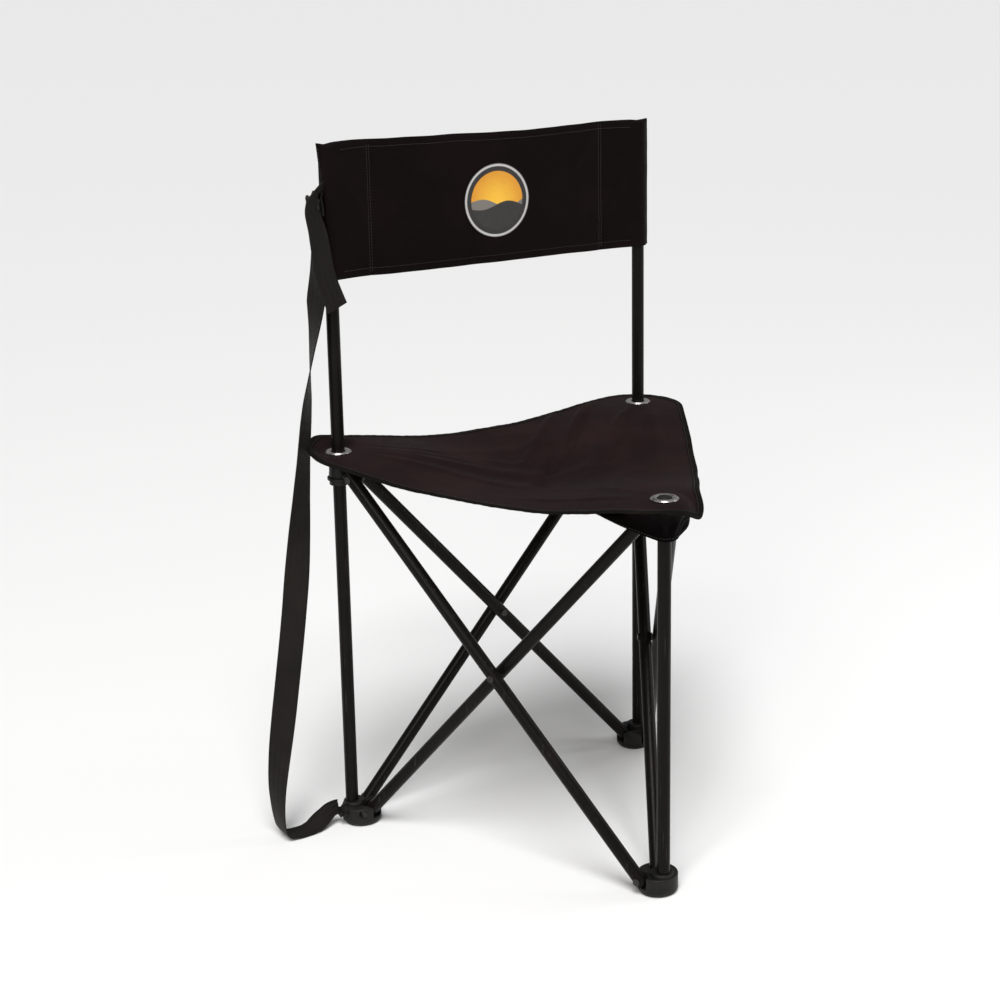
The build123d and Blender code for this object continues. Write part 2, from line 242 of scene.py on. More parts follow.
def webbing_material(name, dark, light):
    """Woven tape: two rows of slanting ribs along its length and plain selvedges."""
    paint = Paint(name)
    tape = paint.node("ShaderNodeUVMap", uv_map="tape").outputs["UV"]
    split = paint.node("ShaderNodeSeparateXYZ", {0: tape})
    across, along = split.outputs[0], split.outputs[1]
    fold = paint.math("PINGPONG", across, 3.75 * MM)
    slant = paint.plus(along, paint.times(fold, 0.8))
    rib = paint.math("ABSOLUTE", paint.sine(slant, math.pi / (1.5 * MM)))
    cord = paint.math("ABSOLUTE", paint.sine(across, math.pi / (1.25 * MM)))
    height = paint.times(paint.math("POWER", rib, 0.6), paint.ramp(cord, 0.0, 0.6, 0.55, 1.0))
    fuzz = paint.noise(1500, 2)
    wear = paint.noise(30, 4)
    colour = paint.mix(paint.times(height, paint.ramp(wear, 0.3, 0.7, 0.5, 1.0)), dark, light)
    paint.set(base_color=colour, roughness=paint.ramp(fuzz, 0.3, 0.7, 0.45, 0.62),
              normal=paint.bump(height, 0.35 * MM, 0.9))
    paint.set(sheen_weight=0.01, sheen_roughness=0.4, specular_ior_level=0.11)
    return paint.material


def thread_material():
    """Twisted black sewing thread."""
    paint = Paint("sewing_thread")
    twist = paint.noise(2600, 2)
    paint.set(base_color=paint.mix(twist, grey(0.008), grey(0.03, 1.1)), roughness=0.5,
              normal=paint.bump(twist, 0.1 * MM, 0.6))
    return paint.material


CLOTH_DARK = (0.0044, 0.0018, 0.0019, 1.0)
CLOTH_LIGHT = (0.0155, 0.0069, 0.0071, 1.0)
SEAT_CLOTH = cloth_material("seat_polyester", CLOTH_DARK, CLOTH_LIGHT, (0, 1))
# painted shade: the back is the seat's own cloth with its colours cut to about a third, because the upright
# back takes less light than the seat
BACK_CLOTH_PAINTED_SHADE = cloth_material("back_polyester_painted_shade", shaded(CLOTH_DARK, 0.36), shaded(CLOTH_LIGHT, 0.33), (0, 2),
                            gloss=0.05)
# painted shade: the pocket is the seat's own cloth with its colours cut to about a tenth, for the shade it
# hangs in under the front corner
POCKET_PAINTED_SHADE = cloth_material("pocket_painted_shade", shaded(CLOTH_DARK, 0.12), shaded(CLOTH_LIGHT, 0.10), (0, 2),
                              gloss=0.02)
BINDING = cloth_material("binding_tape", grey(0.0022, 1.2), grey(0.0070, 1.2), (0, 1), 0.6 * MM, gloss=0.03)
THREAD = thread_material()
WEBBING = webbing_material("webbing_black", grey(0.0036, 1.2), grey(0.013, 1.2))
TUBE = tube_material()
NYLON = plastic_material()
RUBBER = rubber_material()
RIVET = metal_material("blackened_steel", grey(0.05, 1.08), grey(0.018, 1.1), 0.34, 0.55)
NICKEL = metal_material("nickel", grey(0.62, 1.03), grey(0.36, 1.08), 0.16, 0.34)

CAD_LOOKS = {
    "tube_black": TUBE,
    "hub_plastic": NYLON,
    "foot_rubber": RUBBER,
    "rivet_steel": RIVET,
    "eyelet_metal": NICKEL,
    "seat_cloth": SEAT_CLOTH,
    "back_cloth": BACK_CLOTH_PAINTED_SHADE,
    "webbing": WEBBING,
}


# ---------------------------------------------------------------- mesh tools


def new_piece(name, points, faces, material, smooth=True, angle=40):
    mesh = bpy.data.meshes.new(name)
    mesh.from_pydata([tuple(p) for p in points], [], faces)
    mesh.validate()
    mesh.materials.append(material)
    if smooth:
        mesh.shade_smooth()
        mesh.set_sharp_from_angle(angle=math.radians(angle))
    piece = bpy.data.objects.new(name, mesh)
    bpy.context.scene.collection.objects.link(piece)
    return piece


def joined(pieces):
    """The pieces as one object, the first of them. Each keeps its own material."""
    bpy.ops.object.select_all(action="DESELECT")
    for piece in pieces:
        piece.select_set(True)
    bpy.context.view_layer.objects.active = pieces[0]
    bpy.ops.object.join()
    return pieces[0]


def loft(name, rings, material, closed_ring=True, capped=True, **looks):
    """A skin over rings of equally many points. A ring runs round the section."""
    count = len(rings[0])
    points = [p for ring in rings for p in ring]
    faces = []
    last = count if closed_ring else count - 1
    for row in range(len(rings) - 1):
        for k in range(last):
            a, b = row * count + k, row * count + (k + 1) % count
            faces.append((a, b, b + count, a + count))
    if capped:
        faces.append(tuple(range(count))[::-1])
        faces.append(tuple(range((len(rings) - 1) * count, len(rings) * count)))
    return new_piece(name, points, faces, material, **looks)


def lathe(name, profile, centre, material, steps=64):
    """A closed profile of (radius, height) points turned about a vertical axis."""
    rings = []
    for k in range(steps):
        turn = 2 * math.pi * k / steps
        out = Vector((math.cos(turn), math.sin(turn), 0))
        rings.append([centre + out * r + UP * z for r, z in profile])
    count = len(profile)
    points = [p for ring in rings for p in ring]
    faces = []
    for row in range(steps):
        following = (row + 1) % steps
        for k in range(count):
            step = (k + 1) % count
            here, there = row * count, following * count
            faces.append((here + k, there + k, there + step, here + step))
    return new_piece(name, points, faces, material, angle=60)


def mesh_of(curve):
    """The mesh of a curve's tube or line. The curve's own object is removed again."""
    holder = bpy.data.objects.new(curve.name, curve)
    bpy.context.scene.collection.objects.link(holder)
    bpy.context.view_layer.update()
    mesh = bpy.data.meshes.new_from_object(holder.evaluated_get(bpy.context.evaluated_depsgraph_get()))
    bpy.data.objects.remove(holder)
    return mesh


def stitches(name, spots, ups, long=2.7 * MM, thick=0.32 * MM, every=3.9 * MM):
    """Thread along a line: short rounded stitches that dip into the cloth at both ends."""
    rows, sides = 5, 6
    points, faces = [], []
    travelled, due = 0.0, every / 2
    for k in range(1, len(spots)):
        run = spots[k] - spots[k - 1]
        while due <= travelled + run.length and run.length > 1e-9:
            share = (due - travelled) / run.length
            spot = spots[k - 1].lerp(spots[k], share)
            up = ups[k - 1].lerp(ups[k], share).normalized()
            way = run.normalized()
            side = way.cross(up).normalized()
            start = len(points)
            for row in range(rows):
                place = (row / (rows - 1) - 0.5) * 2
                lift = thick * (1.0 - 1.6 * place * place)
                girth = thick * (1.0 - 0.45 * place * place)
                for turn in range(sides):
                    angle = 2 * math.pi * turn / sides
                    offset = side * math.cos(angle) * girth + up * (math.sin(angle) * girth + lift)
                    points.append(spot + way * place * long / 2 + offset)
            for row in range(rows - 1):
                for turn in range(sides):
                    a, b = start + row * sides + turn, start + row * sides + (turn + 1) % sides
                    faces.append((a, b, b + sides, a + sides))
            faces.append(tuple(start + i for i in reversed(range(sides))))
            faces.append(tuple(start + (rows - 1) * sides + i for i in range(sides)))
            due += every
        travelled += run.length
    return new_piece(name, points, faces, THREAD)


def smooth_line(spots):
    """Points along the smooth NURBS curve that has these control points."""
    curve = bpy.data.curves.new("line", "CURVE")
    curve.dimensions = "3D"
    curve.resolution_u = 16
    spline = curve.splines.new("NURBS")
    spline.points.add(len(spots) - 1)
    for point, spot in zip(spline.points, spots):
        point.co = (*spot, 1.0)
    spline.order_u = 3
    spline.use_endpoint_u = True
    mesh = mesh_of(curve)
    line = [v.co.copy() for v in mesh.vertices]
    bpy.data.curves.remove(curve)
    bpy.data.meshes.remove(mesh)
    return line


def tape(name, line, facing, wide, thick, material, cup=0.0, gather=((0.0, 1.0), (1.0, 1.0))):
    """Flat webbing along a line. facing(share) is the way its width points at that share of it,
    and gather lists how much of its width is left there where it is bunched up."""
    columns = 12
    lengths = [0.0]
    for a, b in zip(line, line[1:]):
        lengths.append(lengths[-1] + (b - a).length)
    half, edge = wide / 2, thick * 0.45
    across = [half * (2 * c / columns - 1) for c in range(columns + 1)]
    section = [(-half - edge * 0.4, 0.0)] + [(a, thick / 2) for a in across]
    section += [(half + edge * 0.4, 0.0)] + [(a, -thick / 2) for a in reversed(across)]
    rings, marks = [], []
    for k, spot in enumerate(line):
        way = (line[min(k + 1, len(line) - 1)] - line[max(k - 1, 0)]).normalized()
        share = lengths[k] / lengths[-1]
        side = facing(share)
        side = (side - way * side.dot(way)).normalized()
        face = way.cross(side)
        left = float(np.interp(share, [g[0] for g in gather], [g[1] for g in gather]))
        pleats = 1.6 * MM * (1 - left)
        ring = []
        for a, b in section:
            rise = cup * (1 - (a / half) ** 2) + pleats * math.cos(3 * math.pi * a / half)
            ring.append(spot + side * a * left + face * (b + rise))
        rings.append(ring)
        marks.append([(a + half, lengths[k]) for a, b in section])
    piece = loft(name, rings, material)
    uv = piece.data.uv_layers.new(name="tape")
    flat_marks = [m for ring in marks for m in ring]
    for loop in piece.data.loops:
        uv.data[loop.index].uv = flat_marks[loop.vertex_index]
    return piece


# ---------------------------------------------------------------- carrying strap

WEB_WIDE = 30 * MM
WEB_THICK = 1.5 * MM

# the strap's route, from the slider down to the floor and back up to the left foot
STRAP_ROUTE = [
    (-0.2390, REAR_Y, 0.7960),
    (-0.2375, REAR_Y, 0.7000),
    (-0.2570, REAR_Y, 0.5800),
    (-0.2720, REAR_Y, 0.4450),
    (-0.2860, REAR_Y, 0.3120),
    (-0.3060, REAR_Y, 0.1820),
    (-0.3215, REAR_Y, 0.0880),
    (-0.3235, REAR_Y, 0.0430),
    (-0.3190, REAR_Y, 0.0055),
    (-0.2980, REAR_Y, 0.0016),
    (-0.2790, REAR_Y, 0.0030),
    (-0.2635, REAR_Y, 0.0130),
    (-0.2505, REAR_Y, 0.0240),
    (-0.2405, REAR_Y, 0.0232),
]
TAIL_WIDE = 28 * MM
STRAP_CUP = 0.4 * MM

# how far the strap has turned about its own line, in degrees, at shares of its length
STRAP_TURNS = [
    (0.0, 10), (0.05, 8), (0.09, -2), (0.13, -20), (0.166, 0), (0.192, 12), (0.241, 31), (0.27, 43),
    (0.298, 49), (0.355, 55), (0.412, 68), (0.47, 88), (0.529, 112), (0.56, 123), (0.72, 123),
    (0.765, 135), (0.797, 147), (0.827, 157), (0.857, 168), (0.885, 176), (0.94, 183), (0.951, 190),
    (0.963, 212), (0.975, 235), (0.99, 250), (1.0, 242),
]
# the share of its width that is left where it is gathered into the foot
STRAP_GATHER = [(0.0, 1.0), (0.93, 1.0), (0.955, 0.9), (0.975, 0.72), (1.0, 0.6)]

# the free end that comes back out of the slider and hangs in front of the sleeve
TAIL_ROUTE = [
    (-0.2360, REAR_Y - 0.010, 0.8170),
    (-0.2445, REAR_Y - 0.018, 0.8085),
    (-0.2530, REAR_Y - 0.022, 0.7975),
    (-0.2510, REAR_Y - 0.022, 0.7850),
    (-0.2465, REAR_Y - 0.022, 0.7700),
    (-0.2430, REAR_Y - 0.022, 0.7460),
    (-0.2400, REAR_Y - 0.022, 0.7190),
    (-0.2325, REAR_Y - 0.022, 0.6950),
    (-0.2245, REAR_Y - 0.022, 0.6750),
]
TAIL_TURNS = [(0.0, 30), (0.14, 56), (0.27, 61), (0.42, 72), (0.55, 76), (1.0, 84)]


def turning(turns, line):
    """The way a tape's width points: along +Y at 0 degrees, along its inner side at 90."""
    lengths = np.cumsum([0.0] + [(b - a).length for a, b in zip(line, line[1:])])
    shares, angles = [t[0] for t in turns], [math.radians(t[1]) for t in turns]

    def facing(share):
        k = int(np.clip(np.searchsorted(lengths, share * lengths[-1]), 1, len(line) - 1))
        way = (line[k] - line[k - 1]).normalized()
        angle = float(np.interp(share, shares, angles))
        ahead = Vector((0, 1, 0))
        return ahead * math.cos(angle) + way.cross(ahead) * math.sin(angle)

    return facing


def rod(name, spots, radius, material, closed=False):
    """A bent round bar, such as one side of a buckle."""
    curve = bpy.data.curves.new(name, "CURVE")
    curve.dimensions = "3D"
    spline = curve.splines.new("BEZIER")
    spline.bezier_points.add(len(spots) - 1)
    for point, spot in zip(spline.bezier_points, spots):
        point.co = spot
        point.handle_left_type = point.handle_right_type = "AUTO"
    spline.use_cyclic_u = closed
    curve.bevel_depth = radius
    curve.bevel_resolution = 5
    curve.use_fill_caps = True
    mesh = mesh_of(curve)
    mesh.name = name
    mesh.materials.clear()
    mesh.materials.append(material)
    mesh.shade_smooth()
    piece = bpy.data.objects.new(name, mesh)
    bpy.context.scene.collection.objects.link(piece)
    return piece


def make_slider():
    """A moulded slider: a rounded frame with a bar across its middle."""
    low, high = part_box("strap_slider")
    x, y, z = (low + high) / 2 + Vector((-1, 1, -9)) * MM
    wide, tall, bend = 15.5 * MM, 6.5 * MM, 3 * MM
    corners = []
    for sy, sz in ((-1, -1), (1, -1), (1, 1), (-1, 1)):
        first = (x, y + sy * (wide - (bend if sy == sz else 0)), z + sz * (tall - (0 if sy == sz else bend)))
        second = (x, y + sy * (wide - (0 if sy == sz else bend)), z + sz * (tall - (bend if sy == sz else 0)))
        corners += [first, second]
    ring = rod("slider_ring", corners, 1.7 * MM, NYLON, closed=True)
    bar = rod("slider_bar", [(x, y - wide, z), (x, y, z), (x, y + wide, z)], 1.6 * MM, NYLON)
    slider = joined([ring, bar])
    slider.name = "buckle_slider"
    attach(slider, "frame_left")
    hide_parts("strap_slider")
    return slider


def make_tab():
    """A short loop of webbing sewn to the sleeve, which holds the slider."""
    low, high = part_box("strap_tab")
    y = (low.y + high.y) / 2
    route = [(high.x, y, low.z - 14 * MM), (high.x - 0.2 * MM, y, low.z - 6 * MM),
             (low.x + 0.4 * MM, y, high.z - 23 * MM), (low.x - 1.2 * MM, y, high.z - 17 * MM),
             (high.x - 0.4 * MM, y, high.z - 13 * MM)]
    line = smooth_line(route)
    tab = tape("strap_loop", line, lambda share: Vector((0, 1, 0)), 26 * MM, WEB_THICK, WEBBING)
    rows = []
    for dz in (-10, 0):
        rows.append([Vector((low.x - 0.3 * MM, y + s * 11 * MM, low.z + dz * MM)) for s in (-1, 1)])
    sewn = [stitches("tab_thread", row, [Vector((-1, 0, 0))] * 2, 2.2 * MM) for row in rows]
    tab = joined([tab] + sewn)
    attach(tab, "frame_left")
    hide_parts("strap_tab")
    return tab


def make_clip():
    """A folded end of webbing, sewn through, where the strap meets the foot."""
    low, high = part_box("strap_clip")
    y, z = (low.y + high.y) / 2, (low.z + high.z) / 2 + 3.5 * MM
    rings = []
    for share in np.linspace(0, 1, 15):
        x = low.x - 3.5 * MM + share * (high.x - low.x + 4 * MM)
        gather = 0.55 + 0.45 * abs(2 * share - 0.9)
        tall, deep = 7.5 * MM * gather, 4.2 * MM * (0.75 + 0.25 * gather)
        ring = []
        for k in range(28):
            turn = 2 * math.pi * k / 28
            pleat = 1 + 0.09 * math.cos(7 * turn)
            off_y = deep * pleat * math.cos(turn) * 2.2
            ring.append(Vector((x, y + off_y, z + tall * pleat * math.sin(turn))))
        rings.append(ring)
    clip = loft("strap_end", rings, WEBBING)
    uv = clip.data.uv_layers.new(name="tape")
    for loop in clip.data.loops:
        spot = clip.data.vertices[loop.vertex_index].co
        uv.data[loop.index].uv = (spot.z - z, spot.x)
    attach(clip, "frame_left")
    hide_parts("strap_clip")
    return clip


def make_strap():
    line = smooth_line(STRAP_ROUTE)
    strap = tape("carry_strap", line, turning(STRAP_TURNS, line), WEB_WIDE, WEB_THICK, WEBBING, STRAP_CUP,
                 STRAP_GATHER)
    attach(strap, "frame_left")
    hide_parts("strap")

    tail_line = smooth_line(TAIL_ROUTE)
    tail = tape("carry_strap_tail", tail_line, turning(TAIL_TURNS, tail_line), TAIL_WIDE, WEB_THICK,
                WEBBING, STRAP_CUP)
    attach(tail, "frame_left")
    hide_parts("strap_tail")

    others = [tail, make_slider(), make_tab(), make_clip()]


# ---------------------------------------------------------------- seat

SEAT_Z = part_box("seat_corner_left")[0].z
CLOTH = 1.3 * MM
SEAT_EDGE = 50 * MM
SEAT_ROUND = 62 * MM
CORNER_R = 26 * MM
EYELET_HOLE = 9.6 * MM
GRID = 3.4 * MM
BINDING_WIDE = 7 * MM

# folds drawn by the pull between the corners: from, to (mm), half width, height (mm)
FOLDS = [
    ((-190, 166), (60, 52), 8, 2.8),
    ((-196, 178), (10, 108), 6, 2.4),
    ((-186, 150), (-20, 6), 6, 2.6),
    ((-150, 172), (110, 150), 9, 1.4),
    ((-185, 195), (-40, 132), 5, 2.2),
    ((-170, 190), (40, 86), 5, -1.8),
    ((203, 176), (36, 36), 8, 7.6),
    ((186, 140), (70, 18), 9, 4.6),
    ((206, 140), (112, -14), 9, 3.2),
    ((168, 222), (55, 124), 6, 6.4),
    ((112, 226), (-5, 112), 6, 6.0),
    ((72, 144), (-26, 34), 8, -6.2),
    ((142, 190), (30, 84), 7, -5.0),
    ((158, 90), (-22, -98), 9, 2.2),
    ((0, -150), (-40, 30), 7, 2.2),
    ((14, -160), (60, -10), 6, 2.0),
    ((-22, -160), (-110, -10), 6, 2.0),
    ((-120, 120), (40, 20), 12, -1.8),
]


def toward_middle(name):
    return (MIDDLE - LEGS[name]).normalized()


def edge_distance(spot, way):
    """How far a fold line runs, near to far: 0 to 1 along it, and the distance off it."""
    start, end = way
    run = end - start
    share = (spot - start).dot(run) / run.length_squared
    return share, abs((spot - start).cross(run).z) / run.length


# where the edges hang lower or are pulled higher: side, share along it, how much lower (mm), reach (mm)
EDGE_SAGS = [
    ("left", 0.22, 3.0, 60), ("left", 0.48, -3.0, 60), ("left", 0.78, 6.0, 75), ("right", 0.5, 1.0, 110),
    ("rear", 0.5, -5.0, 110), ("rear", 0.5, -2.6, 45), ("rear", 0.75, -1.4, 60), ("rear", 0.22, 1.6, 50),
]
# corners that curl up or droop: place in plan, how much higher, reach (all mm)
CORNER_CURLS = [((-250, 214), 10.0, 44), ((-232, 236), 4.0, 26), ((-262, 186), 3.0, 28),
                ((-185, 238), 5.0, 50), ((20, -232), -9.0, 34), ((38, -228), -11.0, 30)]
# where the seat's outline is stretched or drawn in: place in plan, shift, reach (all mm)
EDGE_PULLS = [((258, 165), (8, 0), 70), ((200, 55), (8, -4), 80), ((142, -38), (6, -3), 66),
              ((55, -185), (-6, 3), 48)]


def away_from_eyelets(spot, start, full):
    """0 round each eyelet, 1 well away from it."""
    near = min((spot - leg).length for leg in LEGS.values())
    share = min(max((near - start) / (full - start), 0.0), 1.0)
    return share * share * (3 - 2 * share)


def bell(spot, place, reach):
    return math.exp(-((spot - Vector((*place, 0)) * MM).length / (reach * MM)) ** 2)


def pulled(x, y):
    """A point of the seat in plan once its edge is stretched and drawn in."""
    spot = Vector((x, y, 0))
    free = away_from_eyelets(spot, CORNER_R + 0.5 * MM, CORNER_R + 20 * MM)
    shift = Vector((0, 0, 0))
    for place, way, reach in EDGE_PULLS:
        shift += Vector((*way, 0)) * MM * bell(spot, place, reach) * free
    return spot + shift


def seat_sag(x, y):
    """How far the sling hangs below its corners."""
    spot = Vector((x, y, 0))
    near = sum(math.exp(-((spot - leg).length / 0.150) ** 2) for leg in LEGS.values())
    basin = math.exp(-((spot - MIDDLE).length / 0.160) ** 2)
    sag = (1 - min(near, 1.0)) * (21.8 + 28.6 * basin) * MM
    for side, share, extra, reach in EDGE_SAGS:
        a, b = SIDES[side][:2]
        out = ((LEGS[a] + LEGS[b]) / 2 - MIDDLE).normalized()
        place = LEGS[a].lerp(LEGS[b], share) + out * SEAT_EDGE
        sag += extra * MM * math.exp(-((spot - place).length / (reach * MM)) ** 2)
    free = away_from_eyelets(spot, 19 * MM, 44 * MM)
    for place, high, reach in CORNER_CURLS:
        sag -= high * MM * bell(spot, place, reach) * free
    return sag


def seat_folds(x, y):
    """Height of the folds and creases at a point, nothing near the eyelets."""
    spot = Vector((x, y, 0))
    lift = 0.0
    for start, end, wide, high in FOLDS:
        way = (Vector((*start, 0)) * MM, Vector((*end, 0)) * MM)
        wander = 6 * MM * noise.noise(Vector((x * 14, y * 14, high)))
        share, off = edge_distance(spot, way)
        if -0.1 < share < 1.15:
            taper = math.sin(math.pi * min(max((share + 0.1) / 1.25, 0), 1)) ** 0.8
            spread = wide * MM * (0.7 + 0.7 * max(share, 0))
            lift += high * MM * taper * math.exp(-((off + wander) / spread) ** 2)
    crease = noise.fractal(Vector((x * 26, y * 26, 1.7)), 0.9, 2.1, 4)
    lift += 0.55 * MM * crease
    near = min((spot - leg).length for leg in LEGS.values())
    calm = min(max((near - 20 * MM) / (45 * MM), 0.0), 1.0)
    return lift * (0.12 + 0.88 * calm)


def seat_height(x, y):
    """The middle of the cloth's thickness."""
    return SEAT_Z + CLOTH / 2 + 0.3 * MM - seat_sag(x, y) + seat_folds(x, y)


def on_seat(x, y):
    """A point of the seat's cloth, from its place in the flat plan."""
    spot = pulled(x, y)
    return Vector((spot.x, spot.y, seat_height(x, y)))


def seat_outline():
    """Points round the seat's edge, each with the way out of it: a triangle with round corners."""
    outline = []
    for name in TURN:
        out = -toward_middle(name)
        centre = LEGS[name] + out * (2 * SEAT_EDGE - 2 * SEAT_ROUND)
        heading = math.atan2(out.y, out.x)
        for step in range(22):
            turn = heading + math.radians(-60 + 120 * step / 21)
            way = Vector((math.cos(turn), math.sin(turn), 0))
            outline.append((centre + way * SEAT_ROUND, way))
        following = TURN[(TURN.index(name) + 1) % 3]
        far_out = -toward_middle(following)
        far_centre = LEGS[following] + far_out * (2 * SEAT_EDGE - 2 * SEAT_ROUND)
        start, way = outline[-1]
        end = far_centre + way * SEAT_ROUND
        steps = round((end - start).length / GRID)
        for step in range(1, steps):
            share = step / steps
            pull = math.sin(math.pi * share) ** 2
            straight = start.lerp(end, share)
            ripple = 1.2 * MM * noise.noise(Vector((straight.x * 22, straight.y * 22, 5)))
            spot = straight - way * (2.0 * MM * pull + ripple * pull)
            outline.append((spot, way))
    return outline


def seat_plan(outline):
    """Flat triangles that follow the edge, the three corner circles and the lines between the sides."""
    spots = [tuple(spot.xy) for spot, way in outline]
    rows = [list(range(len(spots))) + [0]]
    for name in TURN:
        for radius in (EYELET_HOLE, CORNER_R):
            count = round(2 * math.pi * radius / (0.8 * GRID)) // 6 * 6
            start = len(spots)
            heading = math.atan2(*reversed((-toward_middle(name)).xy))
            for k in range(count):
                turn = heading + 2 * math.pi * k / count
                spots.append((LEGS[name].x + radius * math.cos(turn), LEGS[name].y + radius * math.sin(turn)))
            rows.append(list(range(start, len(spots))) + [start])
    for name in TURN:
        inner = LEGS[name] + toward_middle(name) * CORNER_R
        outer = LEGS[name] - toward_middle(name) * CORNER_R
        tip = LEGS[name] - toward_middle(name) * (2 * SEAT_EDGE - SEAT_ROUND)
        for start, end in ((MIDDLE, inner), (outer, tip)):
            steps = max(2, round((end - start).length / GRID))
            first = len(spots)
            for k in range(steps + 1):
                spots.append(tuple(start.lerp(end, k / steps).xy))
            rows.append(list(range(first, len(spots))))
    fixed = np.array(spots)
    reach = GAP
    step_y = GRID * math.sqrt(3) / 2
    for row in range(-int(reach / step_y), int(reach / step_y)):
        for column in range(-int(reach / GRID), int(reach / GRID)):
            spot = Vector((MIDDLE.x + (column + 0.5 * (row % 2)) * GRID, MIDDLE.y + row * step_y, 0))
            clear = np.min(np.sum((fixed - spot.xy) ** 2, axis=1)) > (0.6 * GRID) ** 2
            if clear and inside_seat(spot, 0.5 * GRID):
                spots.append(tuple(spot.xy))
    edges = [pair for row in rows for pair in zip(row, row[1:])]
    made = geometry.delaunay_2d_cdt([Vector(s) for s in spots], edges, [], 0, 1e-7)
    plan, faces = made[0], made[2]
    centres = np.array([sum((plan[v] for v in face), Vector((0, 0))) / 3 for face in faces])
    kept = within(centres, np.array([spot.xy for spot, way in outline]))
    return plan, [face for face, keep in zip(faces, kept) if keep]


def within(centres, ring):
    """Which of the centres lie inside a closed ring of points."""
    inside = np.zeros(len(centres), dtype=bool)
    for (x0, y0), (x1, y1) in zip(ring, np.roll(ring, -1, axis=0)):
        if y0 != y1:
            crosses = (centres[:, 1] < y0) != (centres[:, 1] < y1)
            left = centres[:, 0] < x0 + (x1 - x0) * (centres[:, 1] - y0) / (y1 - y0)
            inside ^= crosses & left
    return inside


def inside_seat(spot, margin):
    for name in TURN:
        away = LEGS[name] - toward_middle(name) * (2 * SEAT_EDGE - 2 * SEAT_ROUND)
        tip = spot - away
        if tip.dot(-toward_middle(name)) > 0.5 * tip.length and tip.length > SEAT_ROUND - margin:
            return False
    for a, b, node in SIDES.values():
        out = ((LEGS[a] + LEGS[b]) / 2 - MIDDLE).normalized()
        if (spot - LEGS[a]).dot(out) > SEAT_EDGE - 3.5 * MM - margin:
            return False
    return True


def seat_part(spot):
    """Which piece of the seat a point in plan belongs to, or None in an eyelet's hole."""
    for name in TURN:
        off = (spot - LEGS[name]).length
        if off < EYELET_HOLE:
            return None
        if off < CORNER_R:
            return "corner_" + name
    return side_of(spot)


def side_of(spot):
    """The side of the seat that a point in plan is nearest to."""
    reach = {}
    for side, (a, b, node) in SIDES.items():
        out = ((LEGS[a] + LEGS[b]) / 2 - MIDDLE).normalized()
        reach[side] = (spot - MIDDLE).dot(out)
    return max(reach, key=reach.get)


def thick_cloth(name, points, normals, faces, thick, material):
    """A closed piece of cloth: the faces, the same faces below them, and an edge all round."""
    used = sorted({v for face in faces for v in face})
    index = {v: k for k, v in enumerate(used)}
    half = thick / 2
    top = [points[v] + normals[v] * half for v in used]
    below = [points[v] - normals[v] * half for v in used]
    count = len(used)
    skin = [tuple(index[v] for v in face) for face in faces]
    under = [tuple(index[v] + count for v in reversed(face)) for face in faces]
    sides = {}
    for face in skin:
        for a, b in zip(face, face[1:] + face[:1]):
            sides[(a, b)] = True
    rim = [(b, a, a + count, b + count) for a, b in sides if (b, a) not in sides]
    piece = new_piece(name, top + below, skin + under + rim, material)
    shading = []
    mesh = piece.data
    for face in mesh.polygons:
        for v in face.vertices:
            if face.index < len(skin):
                shading.append(tuple(normals[used[v]]))
            elif face.index < 2 * len(skin):
                shading.append(tuple(-normals[used[v - count]]))
            else:
                shading.append(tuple(face.normal))
    mesh.normals_split_custom_set(shading)
    return piece


def vertex_normals(points, faces):
    total = [Vector() for p in points]
    for a, b, c in faces:
        facing = (points[b] - points[a]).cross(points[c] - points[a])
        for v in (a, b, c):
            total[v] += facing
    return [t.normalized() if t.length else UP.copy() for t in total]


def make_binding(side, outline):
    """The folded tape along one side's edge, with its row of stitches."""
    a, b = SIDES[side][:2]
    stretch = [(spot, way) for spot, way in outline if side_of(spot) == side]
    run = (LEGS[b] - LEGS[a]).normalized()
    stretch.sort(key=lambda pair: pair[0].dot(run))
    tips = []
    for name in (a, b):
        out = -toward_middle(name)
        tips.append((LEGS[name] + out * (2 * SEAT_EDGE - SEAT_ROUND), out))
    stretch = [tips[0]] + stretch + [tips[1]]
    upper = [(-BINDING_WIDE, 0.9), (-BINDING_WIDE + 0.4 * MM, 1.25), (-2 * MM, 1.4),
             (0.0, 1.3), (0.9 * MM, 0.75)]
    section = upper + [(1.25 * MM, 0.0)] + [(inset, -high) for inset, high in reversed(upper)]
    rings, spots, ups = [], [], []
    for k, (spot, way) in enumerate(stretch):
        before, following = stretch[max(k - 1, 0)][0], stretch[min(k + 1, len(stretch) - 1)][0]
        along = on_seat(following.x, following.y) - on_seat(before.x, before.y)
        inner_spot = spot - way * BINDING_WIDE
        inner, edge = on_seat(inner_spot.x, inner_spot.y), on_seat(spot.x, spot.y)
        across = (edge - inner).normalized()
        up = along.cross(across).normalized()
        if up.z < 0:
            up = -up
        pucker = 1 + 0.10 * math.sin(k * 1.9) + 0.08 * math.sin(k * 0.83 + 1)
        ring = []
        for inset, high in section:
            base = edge + across * inset
            if inset < 0:
                base = inner.lerp(edge, 1 + inset / BINDING_WIDE)
            ring.append(base + up * high * MM * (pucker if abs(high) > 0.8 else 1))
        rings.append(ring)
        spots.append(inner.lerp(edge, 1.8 * MM / BINDING_WIDE) + up * 1.3 * MM)
        ups.append(up)
    tape_edge = loft("binding_" + side, rings, BINDING, angle=70)
    under = [spot - up * 2.6 * MM for spot, up in zip(spots, ups)]
    thread = stitches("thread_" + side, spots, ups)
    thread_under = stitches("thread_under_" + side, under, [-up for up in ups])
    return joined([tape_edge, thread, thread_under])


def gathers(piece, side):
    """The piece turns up with its side of the seat, on a mesh of its own."""
    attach(piece, "seat_" + side)
    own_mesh(piece)


